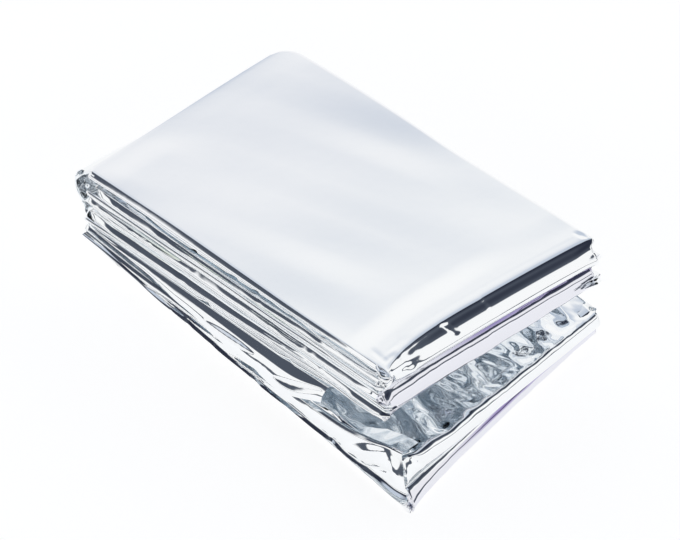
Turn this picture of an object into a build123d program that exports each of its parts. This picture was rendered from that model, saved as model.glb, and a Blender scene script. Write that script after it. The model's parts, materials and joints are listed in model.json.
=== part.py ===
"""Folded emergency blanket: one strip of pleated metallised film, folded in a zigzag.

The film is pleated lengthwise into a strip, and the strip is folded crosswise into leaves that lie on
each other. Leaves 1 to 4 are the lower packet, which lies flat. Leaves 5 to 8 are the upper packet,
which stands a few degrees open about the crease at the left end. Each crease is a hinge between two
leaves, and the film that goes round it is a piece of its own.

Millimetres, +Z up, +X along the leaves towards the open end, +Y across them. The origin is at the
centre of the whole object's footprint, on the surface that it lies on.
"""

import os
from math import cos, radians, sin

from build123d import *

# Driving dimensions
LEAF_LENGTH = 131.0  # from crease to crease
LEAF_WIDTH = 81.0  # across the pleats
UPPER_LEAF = 3.8  # thickness of a leaf of the upper packet
LOWER_LEAF = 2.8  # thickness of a leaf of the lower packet, which carries the upper one
LEAF_GAP = 0.3  # air between two leaves
PLIES = 5  # pleats across each leaf
UPPER_FILM = 0.44  # thickness of one modelled ply
LOWER_FILM = 0.34
CREASE_FILM = 0.4  # thickness of the film round a crease
END_GAP = 0.2  # from a crease's axis to the end of each of its leaves
WEDGE = 4.5  # degrees that the upper packet stands open
LEFT_X = -70.15  # where the crease between the packets lies

# The corners of the lower packet's leaves as (X, Y), near end then far end of each crease
LEFT_FREE_END = ((LEFT_X + 1.0, -31.0), (LEFT_X + 1.0, 39.5))
LEFT_INNER_CREASE = ((LEFT_X, -34.0), (LEFT_X, 40.0))
WEDGE_CREASE = ((LEFT_X, -LEAF_WIDTH / 2), (LEFT_X, LEAF_WIDTH / 2))
RIGHT_LOWER_CREASE = ((LEFT_X + 142.0, -45.0), (LEFT_X + 122.5, 44.5))
RIGHT_UPPER_CREASE = ((LEFT_X + 137.0, -43.5), (LEFT_X + 125.0, 42.5))

LOWER_PITCH = LOWER_LEAF + LEAF_GAP
UPPER_PITCH = UPPER_LEAF + LEAF_GAP
WEDGE_Z = 4 * LOWER_PITCH - LEAF_GAP / 2  # height of the crease between the packets

os.makedirs("parts", exist_ok=True)


def lower_axis_z(crease):
    """Height of the crease above lower leaf number `crease`."""
    return crease * LOWER_PITCH - LEAF_GAP / 2


def line_length(line):
    return (Vector(*line[1]) - Vector(*line[0])).length


def end_plane(line, inset):
    """Upright plane along a leaf's end, set in by a distance, its normal towards +X."""
    near, far = Vector(*line[0]), Vector(*line[1])
    along = (far - near).normalized()
    outward = along.cross(Vector(0, 0, 1))
    return Plane(origin=near + outward * inset, x_dir=along, z_dir=outward)


def pleat_line(width, thickness, film):
    """Draws the zigzag that the film follows across a leaf, in the BuildLine around the call."""
    pitch = (thickness - film) / (PLIES - 1)
    reach = width / 2 - pitch / 2 - film / 2
    side = 1
    for ply in range(PLIES):
        height = film / 2 + ply * pitch
        Line((-side * reach, height), (side * reach, height))
        if ply < PLIES - 1:
            ThreePointArc(
                (side * reach, height),
                (side * (reach + pitch / 2), height + pitch / 2),
                (side * reach, height + pitch),
            )
        side = -side


def make_lower_leaf(number, left, right):
    """A leaf that lies flat: a pile of flat plies between its two ends, joined by half rings at its sides."""
    base = (number - 1) * LOWER_PITCH
    pitch = (LOWER_LEAF - LOWER_FILM) / (PLIES - 1)
    loop = pitch / 2 + LOWER_FILM / 2
    sides = {
        side: (Vector(left[end][0], left[end][1] - side * loop), Vector(right[end][0], right[end][1] - side * loop))
        for side, end in ((-1, 0), (1, 1))
    }
    with BuildPart() as leaf:
        with BuildSketch(*[Plane.XY.offset(base + ply * pitch) for ply in range(PLIES)]):
            with BuildLine():
                Polyline(*sides[-1], *reversed(sides[1]), close=True)
            make_face()
        extrude(amount=LOWER_FILM)
        for ply in range(PLIES - 1):
            side = 1 if ply % 2 else -1
            start, stop = sides[side]
            along = (stop - start).normalized()
            origin = start + Vector(0, 0, base + LOWER_FILM / 2 + (ply + 0.5) * pitch)
            with BuildSketch(Plane(origin=origin, x_dir=Vector(0, 0, 1).cross(along), z_dir=along)):
                with BuildLine():
                    CenterArc((0, 0), pitch / 2, -90 * side, 180)
                trace(line_width=LOWER_FILM)
            extrude(amount=(stop - start).length)
        split(bisect_by=end_plane(left, END_GAP), keep=Keep.TOP)
        split(bisect_by=end_plane(right, -END_GAP), keep=Keep.BOTTOM)
    leaf.part.label = f"leaf_{number}"
    return leaf.part


def upper_plane(along, above):
    """Plane square to the upper packet's length, at a distance along it and above the wedge crease."""
    tilt = radians(WEDGE)
    origin = (
        LEFT_X + along * cos(tilt) - above * sin(tilt),
        0,
        WEDGE_Z + along * sin(tilt) + above * cos(tilt),
    )
    return Plane(origin=origin, x_dir=(0, 1, 0), z_dir=(cos(tilt), 0, sin(tilt)))


def make_upper_leaf(number):
    """A leaf of the tilted packet, pleated film of one width."""
    above = LEAF_GAP / 2 + (number - 5) * UPPER_PITCH
    with BuildPart() as leaf:
        with BuildSketch(upper_plane(END_GAP, above)):
            with BuildLine():
                pleat_line(LEAF_WIDTH, UPPER_LEAF, UPPER_FILM)
            trace(line_width=UPPER_FILM)
        extrude(amount=LEAF_LENGTH - 2 * END_GAP)
    leaf.part.label = f"leaf_{number}"
    return leaf.part


def crease_line(radius, outward, opening=0.0):
    """Draws a half ring round a crease's axis, with short tabs that meet the two leaves' ends.

    `outward` is 1 at the right end and -1 at the left. `opening` turns the upper tab back by that angle.
    It draws in the BuildLine around the call.
    """
    turn = radians(opening)
    top = Vector(-sin(turn), cos(turn)) * radius
    tab = top + Vector(cos(turn), sin(turn)) * (-outward * END_GAP)
    middle = Vector(outward * cos(turn / 2), -sin(turn / 2) * -outward) * radius
    Line((-outward * END_GAP, -radius), (0, -radius))
    ThreePointArc((0, -radius), (middle.X, middle.Y), (top.X, top.Y))
    Line((top.X, top.Y), (tab.X, tab.Y))


def make_lower_crease(number, line, outward):
    """The film round a crease of the lower packet, or round the wedge crease above it."""
    near, far = Vector(*line[0]), Vector(*line[1])
    along = (far - near).normalized()
    start = Plane(
        origin=(near.X, near.Y, lower_axis_z(number)),
        x_dir=Vector(0, 0, 1).cross(-along),
        z_dir=-along,
    )
    opening = WEDGE if number == 4 else 0.0
    with BuildPart() as film:
        with BuildSketch(start):
            with BuildLine():
                crease_line(LOWER_LEAF - CREASE_FILM / 2, outward, opening)
            trace(line_width=CREASE_FILM)
        extrude(amount=-line_length(line))
    film.part.label = f"crease_{number}_film"
    return film.part


def make_upper_crease(number, outward):
    """The film round a crease of the tilted packet."""
    above = (number - 4) * UPPER_PITCH
    along = LEAF_LENGTH if outward > 0 else 0.0
    square = upper_plane(along, above)
    start = Plane(
        origin=square.origin - Vector(0, LEAF_WIDTH / 2, 0),
        x_dir=square.z_dir,
        z_dir=(0, -1, 0),
    )
    with BuildPart() as film:
        with BuildSketch(start):
            with BuildLine():
                crease_line(UPPER_LEAF - CREASE_FILM / 2, outward)
            trace(line_width=CREASE_FILM)
        extrude(amount=-LEAF_WIDTH)
    film.part.label = f"crease_{number}_film"
    return film.part


pieces = [
    make_lower_leaf(1, LEFT_FREE_END, RIGHT_LOWER_CREASE),
    make_lower_leaf(2, LEFT_INNER_CREASE, RIGHT_LOWER_CREASE),
    make_lower_leaf(3, LEFT_INNER_CREASE, RIGHT_UPPER_CREASE),
    make_lower_leaf(4, WEDGE_CREASE, RIGHT_UPPER_CREASE),
    make_lower_crease(1, RIGHT_LOWER_CREASE, 1),
    make_lower_crease(2, LEFT_INNER_CREASE, -1),
    make_lower_crease(3, RIGHT_UPPER_CREASE, 1),
    make_lower_crease(4, WEDGE_CREASE, -1),
]
pieces += [make_upper_leaf(number) for number in (5, 6, 7, 8)]
pieces += [make_upper_crease(number, 1 if number % 2 else -1) for number in (5, 6, 7)]

for piece in pieces:
    export_step(piece, f"parts/{piece.label}.step")
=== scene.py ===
"""Looks of the folded emergency blanket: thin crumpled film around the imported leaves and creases.

Each crease has a wrap, one sheet that runs along the upper leaf's top, round the crease and back along the
lower leaf's underside. Each leaf has a core, the pleats that show between its two wraps along its sides.
Two flaps of outer film hang over the near side, and one over the packet's left end.

Numbers in the tables of shapes are in mm. A packet's right end is at +X, and its near side at -Y.
"""

import json
import math

import bpy
import numpy as np
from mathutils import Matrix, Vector


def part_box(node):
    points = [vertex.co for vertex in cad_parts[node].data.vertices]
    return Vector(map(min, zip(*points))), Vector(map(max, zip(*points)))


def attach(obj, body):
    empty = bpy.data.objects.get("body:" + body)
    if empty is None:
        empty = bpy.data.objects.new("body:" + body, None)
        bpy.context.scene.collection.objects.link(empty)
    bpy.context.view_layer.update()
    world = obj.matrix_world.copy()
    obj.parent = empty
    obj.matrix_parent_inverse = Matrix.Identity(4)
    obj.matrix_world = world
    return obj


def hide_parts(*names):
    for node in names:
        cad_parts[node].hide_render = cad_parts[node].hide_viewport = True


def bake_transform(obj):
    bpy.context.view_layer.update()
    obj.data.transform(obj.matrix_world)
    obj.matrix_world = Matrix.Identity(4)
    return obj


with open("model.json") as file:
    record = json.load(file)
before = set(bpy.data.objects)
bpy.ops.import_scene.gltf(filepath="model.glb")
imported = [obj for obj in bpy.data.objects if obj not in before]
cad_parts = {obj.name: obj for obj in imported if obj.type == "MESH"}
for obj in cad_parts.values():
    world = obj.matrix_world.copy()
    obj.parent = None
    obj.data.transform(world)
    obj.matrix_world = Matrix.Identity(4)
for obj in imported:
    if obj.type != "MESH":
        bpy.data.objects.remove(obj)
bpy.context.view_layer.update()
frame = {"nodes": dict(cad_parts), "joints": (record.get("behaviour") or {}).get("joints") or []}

MM = 0.001
LEAVES = range(1, 9)
CREASES = range(1, 8)
WEDGE = 4  # the crease between the lower packet and the upper one
END_GAP = 1.0 * MM  # how far short of the next crease's line a crease's film ends

# ---------------------------------------------------------------- numbers from the frame


def unit(v):
    """Vectors of length 1."""
    return v / np.linalg.norm(v, axis=-1, keepdims=True)


JOINTS = {j["name"]: j for j in frame["joints"]}


def axis_point(crease):
    """The middle of a crease's axis."""
    return np.array(JOINTS[f"crease_{crease}"]["pos_m"])


# The direction and the distance from one leaf to the next, True being the upper packet and False the lower.
UP = {True: unit(axis_point(6) - axis_point(4)), False: np.array([0.0, 0.0, 1.0])}
PITCH = {True: np.linalg.norm(axis_point(6) - axis_point(4)) / 2, False: axis_point(2)[2] - axis_point(1)[2]}
LOWER_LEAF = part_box("leaf_1")[1].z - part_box("leaf_1")[0].z
GAP = PITCH[False] - LOWER_LEAF  # between two leaves


def is_upper(leaf):
    return leaf > WEDGE


def crease_line(crease):
    """Both ends of a crease's axis, near (-Y) then far."""
    low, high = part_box(f"crease_{crease}_film")
    middle, axis = axis_point(crease), np.array(JOINTS[f"crease_{crease}"]["axis"])
    return np.array([middle + axis * (y - middle[1]) / axis[1] for y in (low.y, high.y)])


def free_end_line():
    """Both ends of the lowest leaf's left end, near then far, half a gap below it."""
    points = np.array([v.co for v in frame["nodes"]["leaf_1"].data.vertices])
    end = points[points[:, 0] < points[:, 0].min() + 0.5 * MM]
    return np.array([[end[:, 0].min(), y, -GAP / 2] for y in (end[:, 1].min(), end[:, 1].max())])


# The creases' lines, and where a crease would be at the bottom leaf's free end (0) and the top leaf's (8).
LINES = {crease: crease_line(crease) for crease in CREASES}
LINES[0] = free_end_line()
LINES[8] = LINES[6] + UP[True] * 2 * PITCH[True]

# ---------------------------------------------------------------- noise


def smooth(x):
    """0 below 0 and 1 above 1, with a soft step between them."""
    x = np.clip(x, 0.0, 1.0)
    return x * x * (3 - 2 * x)


def lattice(i, j, seed):
    """A repeatable number from 0 to 1 for each whole-number point."""
    n = np.sin(i * 127.1 + j * 311.7 + seed * 74.7) * 43758.5453
    return n - np.floor(n)


def soft_noise(x, y, seed):
    """Smooth hills and hollows one unit apart, from -1 to 1."""
    i, j = np.floor(x), np.floor(y)
    a, b = smooth(x - i), smooth(y - j)
    low = lattice(i, j, seed) * (1 - a) + lattice(i + 1, j, seed) * a
    high = lattice(i, j + 1, seed) * (1 - a) + lattice(i + 1, j + 1, seed) * a
    return (low * (1 - b) + high * b) * 2 - 1


def facets(x, y, seed):
    """Flat facets between sharp creases about one unit apart, from -1 to 1."""
    warp_x, warp_y = (0.45 * soft_noise(x * 0.8, y * 0.8, seed + k) for k in (1, 2))
    x, y = x + warp_x, y + warp_y
    skew = (x + y) * (math.sqrt(3) - 1) / 2
    i, j = np.floor(x + skew), np.floor(y + skew)
    a, b = x + skew - i, y + skew - j
    first = a > b
    corner = np.where(first, lattice(i + 1, j, seed), lattice(i, j + 1, seed))
    most, least = np.maximum(a, b), np.minimum(a, b)
    height = lattice(i, j, seed) * (1 - most) + corner * (most - least) + lattice(i + 1, j + 1, seed) * least
    return height * 2 - 1


def crumple(x, y, long, wide, seed):
    """Creased film: facets `long` by `wide`, with smaller ones across them."""
    x, y = x / long, y / wide
    return facets(x, y, seed) + 0.4 * facets(1.9 * x + 0.7 * y + 5.3, 2.1 * y - 0.6 * x, seed + 5)


# ---------------------------------------------------------------- film geometry


def curve_through(knots, count):
    """Evenly spaced points on a smooth curve through the knots.

    A knot is a row of numbers. The first two are its place, and the others are carried along.
    """
    knots = np.array(knots, float)
    padded = np.vstack([2 * knots[0] - knots[1], knots, 2 * knots[-1] - knots[-2]])
    t = np.linspace(0, 1, 24, endpoint=False)[:, None]
    spans = []
    for p0, p1, p2, p3 in zip(padded, padded[1:], padded[2:], padded[3:]):
        bend = (2 * p0 - 5 * p1 + 4 * p2 - p3) * t**2 + (3 * p1 - p0 - 3 * p2 + p3) * t**3
        spans.append(0.5 * (2 * p1 + (p2 - p0) * t + bend))
    dense = np.vstack([*spans, knots[-1:]])
    length = np.concatenate([[0], np.cumsum(np.linalg.norm(np.diff(dense[:, :2], axis=0), axis=1))])
    even = np.linspace(0, length[-1], count)
    return np.stack([np.interp(even, length, column) for column in dense.T], axis=1)


def arc_lengths(points, axis):
    """Distance along the grid's rows or columns, at its middle."""
    middle = points[:, points.shape[1] // 2] if axis == 0 else points[points.shape[0] // 2]
    return np.concatenate([[0], np.cumsum(np.linalg.norm(np.diff(middle, axis=0), axis=1))])


def normals(points, side):
    """The film's outward directions, `side` being 1 or -1."""
    along, across = np.gradient(points, axis=0), np.gradient(points, axis=1)
    return unit(np.cross(along, across)) * side


def sheet_object(name, points, tint=None):
    """A film piece from a grid of points, with its UV in metres along and across the film."""
    rows, columns = points.shape[:2]
    index = np.arange(rows * columns).reshape(rows, columns)
    quads = np.stack([index[:-1, :-1], index[1:, :-1], index[1:, 1:], index[:-1, 1:]], axis=-1).reshape(-1, 4)
    mesh = bpy.data.meshes.new(name)
    mesh.from_pydata(points.reshape(-1, 3).tolist(), [], quads.tolist())
    mesh.polygons.foreach_set("use_smooth", [True] * len(quads))
    u, v = np.meshgrid(arc_lengths(points, 0), arc_lengths(points, 1), indexing="ij")
    uv = np.stack([u.ravel(), v.ravel()], axis=1)[quads.ravel()]
    mesh.uv_layers.new(name="film").data.foreach_set("uv", uv.astype(np.float32).ravel())
    attribute = mesh.attributes.new("tint", "FLOAT", "POINT")
    values = np.zeros(rows * columns) if tint is None else tint.ravel()
    attribute.data.foreach_set("value", values.astype(np.float32))
    piece = bpy.data.objects.new(name, mesh)
    bpy.context.scene.collection.objects.link(piece)
    return piece


def rounded(distance, radius):
    """How far in a rounded corner's side lies, at a distance from the corner's end."""
    near = np.clip(1 - distance / radius, 0, 1)
    return radius * (1 - np.sqrt(1 - near**2))


def bow(t):
    """0 at both corners of a crease and 1 over its middle, rising faster at the near corner."""
    return np.sin(math.pi * np.clip(t, 0, 1) ** 0.7).clip(0) ** 0.6


def row_noise(along, size, seed):
    """Slow changes along a film, from -1 to 1."""
    return soft_noise(along / size, 0 * along, seed)


def kinks(along, spacing, seed):
    """Small sharp dents along an edge, from 0 to 1, about `spacing` apart."""
    cell = np.floor(along / spacing)
    middle = (cell + 0.2 + 0.6 * lattice(cell, 0, seed)) * spacing
    width = (0.8 + 2.2 * lattice(cell, 1, seed)) * MM
    return np.clip(1 - abs(along - middle) / width, 0, 1) * smooth(lattice(cell, 2, seed) * 1.6 - 0.6)


def fold_marks(u, v, marks):
    """Height of V-shaped folds, each given by its start, its end, its height and its half width, in mm."""
    height = np.zeros_like(u)
    for u0, v0, u1, v1, rise, width in marks:
        du, dv = u1 - u0, v1 - v0
        share = np.clip(((u / MM - u0) * du + (v / MM - v0) * dv) / (du * du + dv * dv), 0, 1)
        distance = np.hypot(u / MM - u0 - share * du, v / MM - v0 - share * dv)
        taper = (4 * share * (1 - share)) ** 0.6
        height += rise * MM * taper * np.clip(1 - distance / (width * taper + 0.01), 0, 1)
    return height


def lip_columns(face, side, depth, bulge, notch, held, at_start):
    """Columns that carry the film over one side edge, down by `depth` and back in under itself.

    depth, bulge and notch are one number for each row. The fold starts as a slope and ends rounded, and the
    notch pulls it in like a V. Where `held` falls towards 0 the film's edge is left open.
    """
    edge, inner = (face[:, 0], face[:, 1]) if at_start else (face[:, -1], face[:, -2])
    inward = -normals(face, side)[:, 0 if at_start else -1]
    out = unit(edge - inner)
    columns = []
    for outwards, down in curve_through(LIP_SHAPE, LIP_STEPS + 1)[1:]:
        sideways = bulge * outwards - notch * down
        columns.append(edge + out * sideways[:, None] + inward * (depth * down)[:, None])
    for back in LIP_RETURN:
        sideways = -notch - back * held
        columns.append(edge + out * sideways[:, None] + inward * (depth - 0.04 * back * held)[:, None])
    return columns[::-1] if at_start else columns


class Wrap:
    """The sheet round one crease, in rows along its path and columns across the film.

    A row of a path is (share, out, height): `share` is 0 round the crease and grows to 1 at the leaf's far
    end, `out` is the distance past the crease's line, and `height` the distance above it or below it.
    There are three paths: at the near corner, over the middle and at the far corner. `end_curl` carries them
    on past the lower leaf's end, by knots of distances out and up in mm.
    """

    def __init__(self, crease, noses, step, margins, end_curl):
        self.step, self.margins, self.end_curl = step, margins, end_curl
        self.side = 1 if crease % 2 else -1  # 1 for a crease at the right end
        self.line = LINES[crease]
        self.upper, self.lower = is_upper(crease + 1), is_upper(crease)
        self.above = PITCH[self.upper] - GAP / 2  # from the crease's line to the upper leaf's top
        self.below = PITCH[self.lower] - GAP / 2
        self.upper_end = LINES[crease + 1] - UP[self.upper] * PITCH[self.upper]
        self.lower_end = LINES[crease - 1] + UP[self.lower] * PITCH[self.lower]
        self.width = np.linalg.norm(self.line[1] - self.line[0])
        self.length = np.linalg.norm(self.upper_end - self.line, axis=1).mean()
        self.paths = np.stack([self.path(nose) for nose in noses])

    def path(self, nose):
        """Rows from the upper leaf's far end, round the nose given by its knots, to the lower leaf's end."""
        knots = np.array(nose) * MM
        knots[0, 1], knots[-1, 1] = self.above, -self.below
        bend = curve_through(knots, NOSE_ROWS)
        shares = np.linspace(1, 0, int(self.length / self.step))[:, None]
        upper = np.hstack([shares, np.tile(knots[0], (len(shares), 1))])
        lower = np.hstack([shares[::-1], np.tile(knots[-1], (len(shares), 1))])
        parts = [upper[:-1], np.hstack([np.zeros((len(bend), 1)), bend]), lower[1:]]
        if self.end_curl:
            out, rise = curve_through(np.array(self.end_curl) * MM, CURL_ROWS)[1:].T
            parts.append(np.stack([1 + out / self.length, 0 * out, rise - self.below], axis=1))
        return np.vstack(parts)

    def place(self, t):
        """Points at shares t across the film, one for each row and column."""
        middle = bow(t)
        shares = np.stack([(1 - middle) * (t < 0.5), middle, (1 - middle) * (t >= 0.5)])
        share, out, height = (
            sum(weight * path[:, k][:, None] for weight, path in zip(shares, self.paths))[..., None]
            for k in range(3)
        )
        t = t[..., None]
        hinge, upper_end, lower_end = (
            ends[0] * (1 - t) + ends[1] * t for ends in (self.line, self.upper_end, self.lower_end)
        )
        up = smooth(height / NOSE_BLEND + 0.5)
        length = np.linalg.norm(hinge - upper_end, axis=-1, keepdims=True) * up
        length = length + np.linalg.norm(hinge - lower_end, axis=-1, keepdims=True) * (1 - up)
        outward = unit(unit(hinge - upper_end) * up + unit(hinge - lower_end) * (1 - up))
        normal = unit(UP[self.upper] * up + UP[self.lower] * (1 - up))
        margin = (self.margins[0] * up + self.margins[1] * (1 - up)) * middle[..., None]
        reach = out * (1 - share) + (END_GAP + margin - length) * share
        return hinge + outward * reach + normal * height

    def along(self):
        """Each row's distance from the crease's nose, below 0 on the upper leaf and above 0 on the lower."""
        path = self.paths[1]
        along = arc_lengths(self.place(np.full((len(path), 3), 0.5)), 0)
        apex = np.argmax((path[:, 0] == 0) * (1 - abs(path[:, 2])))
        return along - along[apex]


def corner_inset(along, span, ends, at_nose):
    """How far the film's side is drawn in at its rounded corners, `ends` and `at_nose` being their radii."""
    nose = rounded(np.clip(abs(along) - LEAF_BELOW_NOSE, 0, None), at_nose)
    upper = rounded(along - span[0], ends)
    lower = rounded(span[1] - along, ends)
    return np.maximum.reduce([nose, upper, lower])


def near_reach(leaf, from_left):
    """How far a leaf's near side lies beyond the creases' near ends, at this share of its length."""
    left, right = NEAR_REACH[leaf]
    return (left + (right - left) * np.clip(from_left, 0, 1)) * MM


def side_folds(crease, style, wrap, along):
    """A wrap's near and far sides, row by row: how deep they fold, how far they bulge, how far in they lie.

    Also how much a row belongs to the nose, how well its sides are held down, and where the upper leaf ends.
    """
    leaf_ends = np.flatnonzero(wrap.paths[1][:, 0] == 1)
    span = (along[leaf_ends[0]], along[leaf_ends[-1]])
    from_left = abs(along) / wrap.length if wrap.side < 0 else 1 - abs(along) / wrap.length
    lower_share = smooth(along / REACH_BLEND + 0.5)
    reach = near_reach(crease + 1, from_left) * (1 - lower_share)
    reach = reach + near_reach(crease, from_left) * lower_share
    at_nose = np.exp(-((along / NOSE_SPREAD) ** 2))
    past_end = np.maximum(span[0] - along, along - span[1])
    held = np.clip(1 - past_end / OPENING, OPEN_END, 1)
    corners = CORNERS[wrap.upper]
    here, away = ("right", "left") if wrap.side > 0 else ("left", "right")
    folds = []
    for end, lips in enumerate((style["near_lips"], style["far_lips"])):
        seed = crease * 10 + end + 1
        lip = np.where(along < 0, lips[0], lips[1]) * MM
        depth = lip * (1.15 - 0.4 * from_left) * (1 + 0.2 * row_noise(along, 25 * MM, seed))
        bulge = style["roundness"][end] * depth * (1 + 0.08 * row_noise(along, 17 * MM, seed + 3))
        bulge = bulge * (1 - 0.5 * at_nose) * held
        depth = (depth * (1 - at_nose) + NOSE_DEPTH * (wrap.above + wrap.below) * at_nose) * held
        wander = style["wander"] * MM * (1 + row_noise(along, 31 * MM, seed + 5)) / 2
        wander = wander + style.get("kinks", 0.15) * MM * kinks(along, 13 * MM, seed + 7)
        wander = wander + corner_inset(along, span, corners[away][end] * MM, corners[here][end] * MM)
        folds.append((depth, bulge, (bulge + wander - (1 - end) * reach)[:, None] / wrap.width))
    return folds, at_nose, held, span[0]


def make_wrap(crease, style):
    """The sheet round one crease."""
    margins = np.array(style.get("margins", (0, 0))) * MM
    wrap = Wrap(crease, style["noses"], style["step"] * MM, margins, style.get("end_curl"))
    along = wrap.along()
    folds, at_nose, held, start = side_folds(crease, style, wrap, along)
    (near_depth, near_bulge, near_inset), (far_depth, far_bulge, far_inset) = folds
    columns = int(wrap.width / (style["step"] * COLUMN_STEP * MM))
    t = near_inset + np.linspace(0, 1, columns)[None] * (1 - near_inset - far_inset)
    face = wrap.place(t)
    notch = style.get("notch", 1.6) * MM * at_nose
    near = lip_columns(face, wrap.side, near_depth, near_bulge, notch, held, True)
    far = lip_columns(face, wrap.side, far_depth, far_bulge, notch, held, False)
    points = np.stack([*near, *np.moveaxis(face, 1, 0), *far], axis=1)
    v = arc_lengths(points, 1)
    u, v = np.meshgrid(along, v - v[len(near)], indexing="ij")
    points = points + normals(points, wrap.side) * style["relief"](u, v, u - start)[..., None]
    if "lift" in style:
        points = points + UP[wrap.upper] * style["lift"](v, u - start)[..., None]
    points[..., 2] = np.maximum(points[..., 2], 0)
    piece = sheet_object(f"crease_{crease}_wrap", points, style["tint"](u, v) if "tint" in style else None)
    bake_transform(piece)
    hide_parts(f"crease_{crease}_film")
    return piece


class Zigzag:
    """Columns of a core: the plies' shares across the leaf, and the loops that join them at its sides."""

    def __init__(self, heights):
        self.t, self.out, self.height, self.loop = [], [], [], []
        across = np.linspace(0, 1, 14)
        for ply, height in enumerate(heights):
            forward = ply % 2 == 1
            for t in across if forward else across[::-1]:
                self.add(t, 0.0, height, ply if (t > 0.5) == forward else ply - 1)
            if ply < len(heights) - 1:
                radius = (heights[ply + 1] - height) / 2
                for turn in np.linspace(0, math.pi, 9)[1:-1]:
                    rise = radius * (1 - math.cos(turn))
                    self.add(float(forward), radius * math.sin(turn), height + rise, ply)
        self.t, self.out, self.height, self.loop = map(np.array, (self.t, self.out, self.height, self.loop))

    def add(self, t, out, height, loop):
        self.t.append(t)
        self.out.append(out)
        self.height.append(height)
        self.loop.append(float(loop))


def make_core(leaf):
    """The pleats inside a leaf, one sheet in a zigzag between its two wraps."""
    up, pitch = UP[is_upper(leaf)], PITCH[is_upper(leaf)]
    under, over = CORE_INSETS.get(leaf, (0.5, 0.5))
    zigzag = Zigzag(np.linspace(GAP / 2 + under * MM, pitch - GAP / 2 - over * MM, PLIES))
    below, above = LINES[leaf - 1], LINES[leaf] - up * pitch
    left, right = (below, above) if leaf % 2 else (above, below)
    width = np.linalg.norm(left[1] - left[0])
    length = np.linalg.norm(right - left, axis=1).mean()
    shares = np.linspace(0, 1, int(length / CORE_STEP))
    s, t = np.meshgrid(shares, zigzag.t, indexing="ij")
    along, loop = s * length, np.broadcast_to(zigzag.loop, s.shape)
    inset = 1.9 + 1.5 * soft_noise(along / (29 * MM), loop * 7.3, leaf)
    inset = inset + 1.2 * kinks(along, 17 * MM, leaf + loop * 3)
    corners = CORNERS[is_upper(leaf)]
    near, far = (
        inset * MM
        + rounded(along, corners["left"][end] * MM)
        + rounded(length - along, corners["right"][end] * MM)
        for end in (0, 1)
    )
    near = near - near_reach(leaf, s)
    t = near / width + t * (1 - (near + far) / width)
    start, stop = ((low + (high - low) * bow(t)) * MM / length for low, high in CORE_MARGINS[leaf])
    s = start + s * (1 - start - stop)
    s3, t3 = s[..., None], t[..., None]
    points = (left[0] * (1 - t3) + left[1] * t3) * (1 - s3) + (right[0] * (1 - t3) + right[1] * t3) * s3
    sideways = unit(left[1] - left[0]) * (zigzag.out * np.where(zigzag.t > 0.5, 1, -1))[None, :, None]
    points = points + sideways + up * zigzag.height[:, None]
    glow = np.exp(-(((along / length - GLOW_MIDDLE) / GLOW_SPREAD) ** 2)) * (leaf in GREENISH)
    piece = sheet_object(f"leaf_{leaf}_core", points, -GREEN_GLOW * glow)
    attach(piece, f"leaf_{leaf}")
    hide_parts(f"leaf_{leaf}")
    return piece


# ---------------------------------------------------------------- each fold's own shape, in mm

PLIES = 5
NOSE_ROWS = 40
CURL_ROWS = 24
CORE_STEP = 2.0 * MM
COLUMN_STEP = 1.1  # how far apart a wrap's columns are, in units of its rows' step
NOSE_BLEND = 3 * MM  # height over which a nose goes from the lower leaf's direction to the upper one's
REACH_BLEND = 8 * MM  # way round a nose over which the near side goes from one leaf's to the other's
NOSE_SPREAD = 6.5 * MM  # way from a nose over which the sides' folds change into the nose's closed ends
NOSE_DEPTH = 0.485  # how deep a nose's ends fold from each face, as a share of its height
LEAF_BELOW_NOSE = 4 * MM  # way from a nose's middle to the leaves' faces
LIP_STEPS = 12
LIP_SHAPE = [(0, 0), (0.16, 0.05), (0.84, 0.47), (1.0, 0.68), (0.86, 0.88), (0.4, 1.0)]  # of bulge, of depth
LIP_RETURN = [2 * MM, 5 * MM]  # how far the folded side runs back under the face
OPENING = 1.5 * MM  # way past a leaf's free end over which a side's fold opens
OPEN_END = 0.06  # the share of the fold that is left
FLAP_TUCK = [8 * MM, 4 * MM, 1 * MM]  # how far a flap's rows lie tucked in behind its top line
FLAP_ROWS = 170
SHELF_COLUMNS = 10
HANG_COLUMNS = 30
CORNERS = {  # radii of each packet's corners, near and far
    True: {"left": (1.5, 6), "right": (1.2, 2)},
    False: {"left": (3, 6), "right": (1.2, 1.5)},
}
NEAR_REACH = {  # how far each leaf's near side lies beyond the creases' near ends, at its left and right end
    8: (-3.6, 1.6), 7: (-2.6, 2.4), 6: (-1.8, 3.2), 5: (-1.0, 3.9),
    4: (0.0, 0.3), 3: (0.2, 0.7), 2: (0.5, 1.3), 1: (0.7, 1.8),
}
CORE_INSETS = {8: (0.5, 1.3), 4: (0.5, 1.6)}  # from a leaf's underside and from its top to its pleats
CORE_MARGINS = {  # from a leaf's left and right ends to its pleats, at the corners and over the middle
    8: ((8, 16), (3, 12)),
    7: ((3, 3), (3, 9)),
    6: ((3, 3), (6, 9)),
    5: ((3, 3), (4, 8)),
    4: ((3, 3), (8, 6)),
    3: ((3, 3), (3, 4)),
    2: ((3, 3), (3, 6)),
    1: ((3, 3), (3, 6)),
}
GREENISH = (6, 7)  # leaves whose pleats shine greenish gold, most at this share of their length
GREEN_GLOW = 0.3
GLOW_MIDDLE = 0.42
GLOW_SPREAD = 0.2


def pressed_relief(amplitude, seed, crushed=0.0):
    """Slightly crumpled film, pressed flat between leaves, and crushed at the near end of its nose."""
    def relief(u, v, end):
        pressed = -amplitude * (0.5 + 0.5 * crumple(u + 1, v, 16 * MM, 7 * MM, seed))
        return (pressed + crushed * near_corner(u, v, 9, 12) * crumple(u, v, 4 * MM, 4 * MM, seed + 3)) * MM
    return relief


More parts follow.
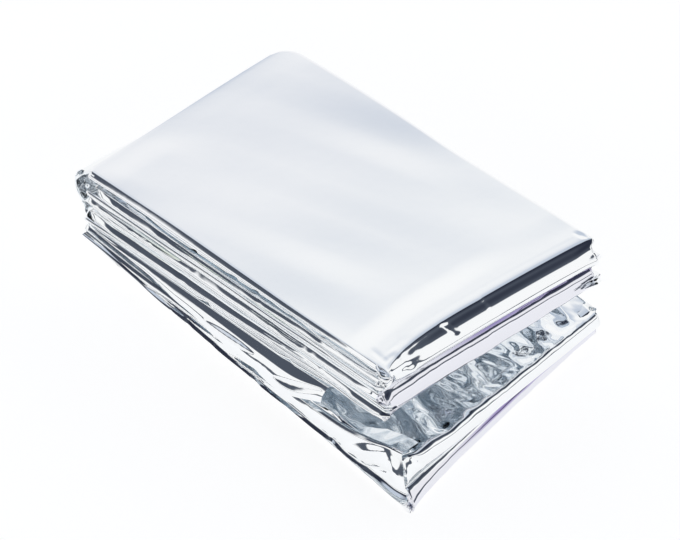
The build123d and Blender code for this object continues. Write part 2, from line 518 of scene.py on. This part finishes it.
def near_corner(u, v, length, across):
    """1 at the near end of a crease's nose, falling to 0 along the film and across it."""
    return np.exp(-((u / (length * MM)) ** 2)) * (1 - smooth(v / (across * MM)))


def top_relief(u, v, end):
    """The top leaf: a soft swell in long streaks, and creased film at its nose's ends."""
    on_top = smooth((-u - 12 * MM) / (10 * MM)) * smooth(end / (12 * MM))
    swell = 0.34 * soft_noise((u + 0.5 * v) / (40 * MM), (v - 0.28 * u) / (13 * MM), 4)
    swell = swell + 0.6 * soft_noise((u + 0.3 * v) / (70 * MM), (v - 0.28 * u) / (40 * MM), 6)
    corner = near_corner(u, v, 9, 24)
    tip = np.exp(-((u / (6 * MM)) ** 2) - (((v - 84 * MM) / (7 * MM)) ** 2))
    creased = (0.4 * corner + 0.6 * tip) * crumple(u, v, 5 * MM, 7 * MM, 11)
    nose = smooth((u + 13 * MM) / (6 * MM)) * creased
    return (on_top * swell + nose) * MM + fold_marks(u, v, TOP_MARKS)


def top_lift(v, end):
    """How far the top leaf's far left corner stands up."""
    return 3.4 * MM * smooth(1 - end / (110 * MM)) * smooth((v + 15 * MM) / (105 * MM))


def top_painted_shade(u, v):
    """Painted shade: a little violet shading painted on the top leaf's left part."""
    return 0.04 * smooth((-u - 25 * MM) / (80 * MM))


def wedge_relief(u, v, end):
    """The lower packet's top, more crinkled where the wedge is open, and the creased nose below it."""
    room = smooth(end / (120 * MM)) * smooth(-(u + 1 * MM) / (6 * MM))
    fan = crumple(u - 0.5 * v, v + 0.35 * u, 26 * MM, 8 * MM, 51)
    fine = crumple(u, v - 0.4 * u, 8 * MM, 3 * MM, 52)
    lift = 0.9 * np.exp(-((v / (7 * MM)) ** 2))
    lift = lift * smooth((u + 90 * MM) / (60 * MM)) * smooth(-(u + 8 * MM) / (8 * MM))
    rim = -0.5 * np.exp(-(((u + 7 * MM) / (3 * MM)) ** 2))
    nose = 0.05 * near_corner(u, v, 8, 22) * crumple(u, v, 7 * MM, 9 * MM, 53)
    under = (u > 6 * MM) * -0.2 * (0.5 + 0.5 * crumple(u, v, 16 * MM, 7 * MM, 54))
    return (room * (0.8 * fan + 0.2 * fine + lift + rim) + nose + under) * MM + fold_marks(u, v, WEDGE_MARKS)


def low_relief(u, v, end):
    """The nose of the upper packet's lower fold, crushed at its near end."""
    pressed = -0.25 * (0.5 + 0.5 * crumple(u, v, 16 * MM, 7 * MM, 31))
    return (pressed + 0.5 * near_corner(u, v, 6, 8) * crumple(u, v, 4 * MM, 4 * MM, 33)) * MM


def violet_line(first, last):
    """Violet between two distances from the nose, coming and going along it, and faint below them."""
    def tint(u, v):
        patchy = smooth((v - 12 * MM) / (40 * MM)) * (0.8 + 0.2 * soft_noise(v / (19 * MM), 0 * v, 95))
        u = u / MM + 0.5 * soft_noise(v / (30 * MM), 0 * v, 96)
        faint = 0.15 * (1 - smooth((u - 3.5) / 2))
        return smooth((u - first) / 0.5) * (faint + 0.85 * patchy * (1 - smooth((u - last) / 0.6)))
    return tint


# Folds near the top fold's corners: start, end (along and across the film), height and half width.
TOP_MARKS = [(-5, 25, 0, 29, -0.55, 1.3), (-1, 6, 3, 13, 0.5, 1.5), (-6, 3, -14, 4, -0.3, 1.0),
             (-11, 77, -6, 78, -0.5, 1.0), (-12, 81, -6, 81, -0.5, 0.9)]

WEDGE_MARKS = [(-3, 2, 3, 9, -0.9, 1.3)]

# A nose is a list of distances past its crease's line and heights from it. Its first and last points lie on
# the leaves' faces, whatever their height. A crease has one nose near, one over the middle and one far.
TOP_NOSES = (
    [(-4, 0), (-0.4, 3.8), (0.6, 3.1), (1.1, 2.3), (1.0, 1.2), (0.2, 0.2), (-1.0, -1.0), (-2.4, -2.2),
     (-3.6, -3.2), (-6, 0)],
    [(-12, 0), (-8.4, 3.85), (-7.0, 2.85), (-5.6, 1.75), (-4.6, 0.4), (-3.6, -1.1), (-3.5, -1.8),
     (-3.9, -2.6), (-4.6, -3.4), (-7, 0)],
    [(-9, 0), (-6.0, 3.7), (-4.6, 2.7), (-3.4, 1.7), (-2.6, 0.5), (-1.9, -0.6), (-1.5, -1.4), (-1.9, -2.4),
     (-3, -3.2), (-6, 0)],
)
LOW_NOSES = (
    [(-8, 0), (-4.6, 3.85), (-3.4, 3.0), (-2.2, 2.1), (-1.5, 1.0), (-1.2, -0.8), (-1.3, -2.6), (-2.0, -3.8),
     (-5, 0)],
    [(-10, 0), (-7.2, 3.85), (-5.8, 2.95), (-5.0, 2.35), (-4.4, 1.2), (-4.0, -0.5), (-3.9, -2.4),
     (-4.6, -3.7), (-8, 0)],
    [(-8, 0), (-5.2, 3.8), (-4.4, 3.2), (-3.8, 2.4), (-3.4, 1.2), (-3.6, -1.2), (-4.8, -3.0), (-8, 0)],
)
# The left creases' noses stay behind their lines, so that they clear each other when the packet opens.
FLAT_NOSE = [(-4, 0), (-2.2, 3.2), (-0.9, 2.0), (-0.6, 0), (-0.9, -2.0), (-2.2, -3.2), (-4, 0)]
DEEP_NOSE = [(-7, 0), (-5.0, 3.2), (-3.7, 2.0), (-3.4, 0), (-3.7, -2.0), (-5.0, -3.2), (-7, 0)]
THIN_LEFT_NOSE = [(-4, 0), (-2.4, 2.4), (-1.3, 1.5), (-1.0, 0), (-1.3, -1.5), (-2.4, -2.4), (-4, 0)]
WHITE_NOSES = (
    [(-15, 0), (-10.5, 3.2), (-6.4, 4.8), (-3.8, 5.6), (-2.9, 5.0), (-1.5, 3.3), (0.3, 1.0), (1.6, -0.8),
     (2.2, -2.2), (1.6, -2.9), (-1, 0)],
    [(-6, 0), (-0.6, 2.95), (0.7, 2.3), (1.3, 1.2), (1.5, -0.6), (1.1, -2.1), (-0.2, -2.85), (-3, 0)],
    [(-4, 0), (-1.2, 2.9), (0.2, 2.2), (0.9, 0.9), (1.1, -0.8), (0.6, -2.3), (-1, 0)],
)
BOTTOM_NOSES = (
    [(-6, 0), (-3.2, 2.85), (-0.8, 1.15), (1.5, -0.5), (1.9, -1.4), (1.0, -2.6), (-2, 0)],
    [(-6, 0), (-3.1, 2.85), (-1.7, 1.85), (-1.0, 0.5), (-0.9, -1.2), (-1.9, -2.6), (-5, 0)],
    [(-4, 0), (-1.2, 2.8), (-0.4, 2.1), (0.1, 0.4), (0.2, -1.3), (-0.8, -2.6), (-3, 0)],
)
BOTTOM_CURL = [(0, 0), (0.6, 0.3), (0.7, 0.8), (0.2, 1.3), (-2, 1.4), (-5, 1.4)]  # out and up at the left end

# step: how far apart the sheet's rows are. near_lips and far_lips: how deep the sides fold on the upper leaf
# and on the lower one. roundness: how far they bulge, near and far, as a share of that. wander and kinks: how
# unevenly they run. margins: how much further in the sheet ends over the middle of the upper leaf and of the
# lower one. notch: how far in the nose's ends fold. relief, lift and tint: the film's shape and colour, the
# top leaf's tint being painted shade.
STYLES = {
    7: dict(noses=TOP_NOSES, step=0.7, near_lips=(1.8, 1.9), far_lips=(1.6, 1.2), roundness=(0.9, 0.5),
            wander=0.6, kinks=0, relief=top_relief, lift=top_lift, tint=top_painted_shade),
    6: dict(noses=[DEEP_NOSE, FLAT_NOSE, FLAT_NOSE], step=1.1, near_lips=(1.9, 1.8), far_lips=(1.5, 1.2),
            roundness=(0.95, 0.5), wander=1.0, margins=(6, 6), notch=3.0,
            relief=pressed_relief(0.2, 21, 0.7)),
    5: dict(noses=LOW_NOSES, step=0.8, near_lips=(2.0, 2.4), far_lips=(1.5, 1.4), roundness=(0.9, 0.5),
            wander=0.9, relief=low_relief, tint=violet_line(-4.9, -3.5)),
    4: dict(noses=[FLAT_NOSE] * 3, step=1.1, near_lips=(1.8, 1.4), far_lips=(1.4, 1.1), roundness=(1.0, 0.5),
            wander=0.9, margins=(6, 3), notch=3.0, relief=pressed_relief(0.2, 41, 0.6)),
    3: dict(noses=WHITE_NOSES, step=0.75, near_lips=(1.6, 1.4), far_lips=(1.4, 1.0), roundness=(0.8, 0.5),
            wander=1.2, relief=wedge_relief),
    2: dict(noses=[THIN_LEFT_NOSE] * 3, step=1.2, near_lips=(1.3, 1.3), far_lips=(1.2, 0.9),
            roundness=(0.95, 0.5), wander=1.0, margins=(3, 4.5), relief=pressed_relief(0.2, 61, 0.5)),
    1: dict(noses=BOTTOM_NOSES, step=0.9, near_lips=(1.8, 1.4), far_lips=(1.2, 1.0), roundness=(0.95, 0.5),
            wander=0.9, end_curl=BOTTOM_CURL, relief=pressed_relief(0.2, 71), tint=violet_line(-2.6, -1.4)),
}


def make_flap(name, leaf, top, bottom, marks, hem, seed):
    """Film that hangs over a leaf's near side, from a top line to a bottom line given by knots in mm.

    A knot of the top line ends with the width of the ledge there, which slopes out before the film hangs
    down. `hem` is how far the bottom edge flares out.
    """
    top, bottom = (curve_through(np.array(line, float) * MM, FLAP_ROWS) for line in (top, bottom))
    top, width = top[:, :3], top[:, 3:]
    slope = np.array([0, -math.cos(LEDGE_SLOPE), -math.sin(LEDGE_SLOPE)])
    shelf = top[:, None] + width[:, None] * slope * np.linspace(0, 1, SHELF_COLUMNS)[:, None]
    down = np.linspace(0, 1, HANG_COLUMNS)
    u = np.linspace(-np.linalg.norm(top[-1] - top[0]), 0, FLAP_ROWS)[:, None] + 0 * down
    v = np.linalg.norm(bottom - shelf[:, -1], axis=1)[:, None] * down
    ragged = 1 + 0.06 * row_noise(u, 9 * MM, seed) - 0.1 * kinks(u, 8 * MM, seed + 1)
    points = shelf[:, -1:] + (bottom - shelf[:, -1])[:, None] * (down * ragged)[..., None]
    face = normals(points, 1)
    face = face * np.sign(-face[..., 1:2])
    swell = 0.4 * MM * np.sin(math.pi * down) + 0.15 * MM * crumple(u, v, 13 * MM, 5 * MM, seed + 2) * down
    flare = hem * MM * np.clip(1 - (v[:, -1:] - v) / HEM_HEIGHT, 0, 1)
    points = points + face * (swell + fold_marks(u, v, marks) + flare)[..., None]
    line = unit(np.gradient(top, axis=0))
    inward = unit(np.stack([-line[:, 1], line[:, 0], -0.2 + 0 * line[:, 0]], axis=1))
    tucked = [top + inward * back for back in FLAP_TUCK]
    points = np.concatenate([np.stack(tucked, axis=1), shelf[:, :-1], points], axis=1)
    piece = sheet_object(name, points)
    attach(piece, f"leaf_{leaf}")
    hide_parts(f"leaf_{leaf}")
    return piece


LEDGE_SLOPE = math.radians(33)
HEM_HEIGHT = 1.0 * MM  # the lowest part of a flap, which flares out

# The lower packet's flap runs from its left part to its near right corner, where it is creased. Its lines are
# places from left to right, in mm.
LOWER_FLAP_TOP = [
    (-66, -40.6, 11.8, 0.3), (-46, -41.4, 11.9, 0.5), (-10, -42.6, 12.0, 0.6), (20, -43.4, 12.0, 0.7),
    (42, -43.7, 12.4, 0.9), (54, -43.6, 14.4, 0.7), (60, -43.0, 15.6, 0.4), (65, -42.0, 15.4, 0.2),
]
LOWER_FLAP_BOTTOM = [
    (-66, -41.0, 11.0), (-46, -42.2, 10.2), (-10, -44.0, 8.8), (20, -45.2, 7.4), (44, -45.8, 6.4),
    (58, -46.2, 5.8), (66, -46.2, 5.2), (70.5, -45.2, 5.2),
]
# Its folds: start, end (back from its right end, and down from its top), height and half width.
LOWER_FLAP_MARKS = [
    (-26, 7.5, -6, 1.2, 0.7, 2.6), (-20, 8.5, -3, 6.5, -0.5, 1.2), (-2.5, 2, -4.5, 9, 0.5, 1.2),
    (-44, 1.5, -70, 3.2, 0.9, 0.9), (-75, 1.0, -105, 1.6, -0.8, 0.9),
]

# The upper packet's flap hangs outside the wedge's near side as far as the middle, below a widening ledge.
UPPER_FLAP_TOP = [
    (-64, -38.8, 13.0, 0.3), (-40, -39.9, 14.8, 0.9), (-10, -41.0, 17.2, 2.0), (10, -41.7, 18.8, 2.9),
    (24, -42.3, 20.0, 3.0), (36, -42.7, 20.9, 0.5),
]
UPPER_FLAP_BOTTOM = [
    (-64, -39.3, 12.4), (-40, -41.2, 12.6), (-10, -44.6, 12.8), (10, -46.6, 12.8), (22, -47.4, 13.2),
    (36, -45.4, 17.4),
]
UPPER_FLAP_MARKS = [(-1, 1, -18, 3, -0.9, 1.4), (-28, 1.0, -50, 2.0, 0.7, 0.9)]

# The end flap's path, out from the top leaf's left end and down from its top.
END_FLAP = [(-4, 0), (0, 0), (1.7, 0.6), (3.1, 2.6), (3.7, 5.6), (3.3, 9), (2.2, 12), (1.2, 15)]
END_FLAP_NEAR_SIDE = 0.4 * MM  # from the packet's near side
END_FLAP_FAR_SIDE = 38 * MM  # from the crease's near end
END_FLAP_ROWS = 70
END_FLAP_COLUMNS = 60


def make_end_flap():
    """The outer film's end, hanging over the packet's left end from the top leaf. Its near end is open."""
    path = curve_through(np.array(END_FLAP) * MM, END_FLAP_ROWS)
    near, far = LINES[8]
    width = np.linalg.norm(far - near)
    near_side = END_FLAP_NEAR_SIDE - near_reach(8, 0)
    across = np.linspace(near_side, END_FLAP_FAR_SIDE, END_FLAP_COLUMNS) / width
    u, v = np.meshgrid(arc_lengths(path[:, None], 0), across * width, indexing="ij")
    up = UP[True]
    left = np.array([-up[2], 0, up[0]])
    out, drop = path[:, 0][:, None] + 0 * v, path[:, 1][:, None] + 0 * v
    out = out * (1 - smooth((v - 8 * MM) / (30 * MM)) * (out > 0))
    crushed = smooth(drop / (3 * MM)) * (0.35 + 0.65 * np.exp(-(((v - v[0, 0]) / (12 * MM)) ** 2)))
    out = out + 1.3 * MM * crushed * (crumple(u, v, 7 * MM, 5 * MM, 101) - 0.3)
    drop = drop * (1 - 0.6 * smooth((v - 12 * MM) / (24 * MM)) + 0.05 * soft_noise(v / (9 * MM), 0 * v, 102))
    drop = drop + GAP / 2 + 0.15 * MM
    base = near + (far - near) * across[:, None]
    points = base + left * out[..., None] - up * drop[..., None]
    piece = sheet_object("leaf_8_end_flap", points)
    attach(piece, "leaf_8")
    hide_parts("leaf_8")
    return piece


def make_film():
    """Every piece of film."""
    pieces = [make_core(leaf) for leaf in LEAVES]
    pieces += [make_wrap(crease, STYLES[crease]) for crease in CREASES]
    pieces.append(make_flap("leaf_4_flap", 4, LOWER_FLAP_TOP, LOWER_FLAP_BOTTOM, LOWER_FLAP_MARKS, 1.1, 81))
    pieces.append(make_flap("leaf_5_flap", 5, UPPER_FLAP_TOP, UPPER_FLAP_BOTTOM, UPPER_FLAP_MARKS, 0, 91))
    pieces.append(make_end_flap())
    return pieces


# ---------------------------------------------------------------- shader nodes


def joined(tree, kind, inputs, **settings):
    """A new node of a tree. Each of its inputs is a number, a colour or the output of another node."""
    node = tree.nodes.new(kind)
    for name, value in settings.items():
        setattr(node, name, value)
    for name, value in inputs.items():
        if isinstance(value, bpy.types.NodeSocket):
            tree.links.new(value, node.inputs[name])
        else:
            node.inputs[name].default_value = value
    return node


def ranged(tree, value, low, high, out_low=0.0, out_high=1.0, kind="LINEAR"):
    """A value taken from one range to another, and kept within it."""
    inputs = {"Value": value, "From Min": low, "From Max": high, "To Min": out_low, "To Max": out_high}
    return joined(tree, "ShaderNodeMapRange", inputs, interpolation_type=kind).outputs["Result"]


def mixed(tree, factor, first, second):
    """A colour between two others."""
    inputs = {"Factor": factor, "A": first, "B": second}
    return joined(tree, "ShaderNodeMix", inputs, data_type="RGBA").outputs["Result"]


def combined(tree, operation, *values):
    """The result of a sum, a product or another operation on values."""
    return joined(tree, "ShaderNodeMath", dict(enumerate(values)), operation=operation).outputs[0]


# ---------------------------------------------------------------- material

SILVER = (0.93, 0.945, 0.957, 1)
VIOLET = (0.20, 0.13, 0.42, 1)
GREEN_GOLD = (0.80, 0.88, 0.50, 1)
LEAST_ROUGHNESS = 0.03
MOST_ROUGHNESS = 0.09
CRINKLE_HEIGHT = 0.2 * MM
CRINKLE_STRENGTH = 0.12


def film_material():
    """Thin aluminium on clear film: a mirror with faint crinkles, faint colours along some folds, and painted
    violet shade on the top leaf's left part.
    """
    material = bpy.data.materials.new("metallised_film")
    material.use_nodes = True
    tree = material.node_tree
    shader = tree.nodes["Principled BSDF"]
    shader.inputs["Metallic"].default_value = 1.0
    place = joined(tree, "ShaderNodeUVMap", {}, uv_map="film").outputs["UV"]
    tint = joined(tree, "ShaderNodeAttribute", {}, attribute_name="tint").outputs["Fac"]

    def noise(scale):
        inputs = {"Vector": place, "Scale": scale, "Detail": 2}
        return joined(tree, "ShaderNodeTexNoise", inputs).outputs["Fac"]

    # The tint attribute: above 0 it is violet, both the film's colour along some noses and painted shade on
    # the top leaf's left part. Below 0 it is greenish gold on some pleats.
    violet = mixed(tree, ranged(tree, tint, 0, 1), SILVER, VIOLET)
    colour = mixed(tree, ranged(tree, tint, -1, 0, 1, 0), violet, GREEN_GOLD)
    roughness = ranged(tree, noise(90), 0.3, 0.7, LEAST_ROUGHNESS, MOST_ROUGHNESS)
    crinkles = {"Height": noise(140), "Strength": CRINKLE_STRENGTH, "Distance": CRINKLE_HEIGHT}
    normal = joined(tree, "ShaderNodeBump", crinkles).outputs["Normal"]
    for name, output in (("Base Color", colour), ("Roughness", roughness), ("Normal", normal)):
        tree.links.new(output, shader.inputs[name])
    return material


# ---------------------------------------------------------------- surroundings

VIEW_AZIMUTH = math.radians(47.5)
VIEW_ELEVATION = math.radians(40.5)
RIGHT = Vector((math.cos(VIEW_AZIMUTH), math.sin(VIEW_AZIMUTH), 0))
BACK = Vector((
    math.sin(VIEW_AZIMUTH) * math.cos(VIEW_ELEVATION),
    -math.cos(VIEW_AZIMUTH) * math.cos(VIEW_ELEVATION),
    math.sin(VIEW_ELEVATION),
))
CAMERA_DISTANCE = 3.0
FIELD_WIDTH = 0.1889  # how much of the scene the frame takes in, side to side
AIM = RIGHT * -0.0039 + BACK.cross(RIGHT) * 0.0120

FLOOR_HALF = 6.0
FLOOR_GREY = (0.3, 0.3, 0.3, 1)
FLOOR_GLOW = 0.85

# The surroundings, by elevation in degrees. A band has where it starts, is full, starts to fade and ends.
DARK_BAND = (31, 35, 64, 72)
LOW_BAND = (1, 2, 8, 10)
SWEEP_FADE = (27, 54)
ROOM_FADE = (33, 60)
BRIGHT_BEHIND = (44, 36)  # the bands fade out between these angles from the direction the camera looks in
SWEEP_LOW, SWEEP_HIGH = (1.0, 1.0, 1.0, 1), (0.56, 0.62, 0.72, 1)
ROOM_LOW, ROOM_HIGH = (0.085, 0.10, 0.13, 1), (0.025, 0.03, 0.05, 1)


def make_camera():
    """A camera far off with a long lens, so that the view is nearly parallel."""
    data = bpy.data.cameras.new("camera")
    data.lens = data.sensor_width * CAMERA_DISTANCE / FIELD_WIDTH
    camera = bpy.data.objects.new("camera", data)
    camera.location = AIM + BACK * CAMERA_DISTANCE
    camera.rotation_mode = "QUATERNION"
    camera.rotation_quaternion = (-BACK).to_track_quat("-Z", "Y")
    bpy.context.scene.collection.objects.link(camera)
    bpy.context.scene.camera = camera


def make_floor():
    """A white floor. It glows, so that only faint shadows fall on it."""
    mesh = bpy.data.meshes.new("floor")
    corners = [(x * FLOOR_HALF, y * FLOOR_HALF, 0) for x, y in ((-1, -1), (1, -1), (1, 1), (-1, 1))]
    mesh.from_pydata(corners, [], [(0, 1, 2, 3)])
    floor = bpy.data.objects.new("floor", mesh)
    bpy.context.scene.collection.objects.link(floor)
    material = bpy.data.materials.new("floor")
    material.use_nodes = True
    shader = material.node_tree.nodes["Principled BSDF"]
    shader.inputs["Base Color"].default_value = FLOOR_GREY
    shader.inputs["Roughness"].default_value = 0.9
    shader.inputs["Emission Color"].default_value = (1, 1, 1, 1)
    shader.inputs["Emission Strength"].default_value = FLOOR_GLOW
    mesh.materials.append(material)


def make_world():
    """White below and behind, as a studio sweep is, with two dark bands of room to the sides and in front."""
    world = bpy.data.worlds.new("studio")
    bpy.context.scene.world = world
    world.use_nodes = True
    tree = world.node_tree
    background = tree.nodes["Background"]

    def soft_step(value, low, high):
        return ranged(tree, value, low, high, kind="SMOOTHSTEP")

    def risen(low, high):
        return soft_step(elevation, math.radians(low), math.radians(high))

    def band(start, full, fading, end):
        falling = combined(tree, "SUBTRACT", 1.0, risen(fading, end))
        return combined(tree, "MULTIPLY", risen(start, full), falling)

    def dot(a, b):
        products = (combined(tree, "MULTIPLY", p, q) for p, q in zip(a, b))
        return combined(tree, "ADD", *products)

    direction = tree.nodes.new("ShaderNodeTexCoord").outputs["Generated"]
    x, y, z = joined(tree, "ShaderNodeSeparateXYZ", {0: direction}).outputs
    level = combined(tree, "SQRT", dot((x, y), (x, y)))
    elevation = combined(tree, "ARCTAN2", z, level)
    forward = -BACK.xy.normalized()
    ahead = combined(tree, "DIVIDE", dot((x, y), forward), combined(tree, "MAXIMUM", level, 0.001))
    behind = soft_step(ahead, *(math.cos(math.radians(angle)) for angle in BRIGHT_BEHIND))
    sides = combined(tree, "SUBTRACT", 1.0, behind)
    dark = combined(tree, "MULTIPLY", sides, combined(tree, "MAXIMUM", band(*DARK_BAND), band(*LOW_BAND)))
    white = mixed(tree, risen(*SWEEP_FADE), SWEEP_LOW, SWEEP_HIGH)
    room = mixed(tree, risen(*ROOM_FADE), ROOM_LOW, ROOM_HIGH)
    tree.links.new(mixed(tree, dark, white, room), background.inputs["Color"])
    background.inputs["Strength"].default_value = 1.0


bpy.context.scene.cycles.max_bounces = 24
bpy.context.scene.cycles.glossy_bounces = 24
make_camera()
make_world()
make_floor()
film = film_material()
for piece in make_film():
    piece.data.materials.append(film)
bpy.context.scene.view_settings.view_transform = "Standard"
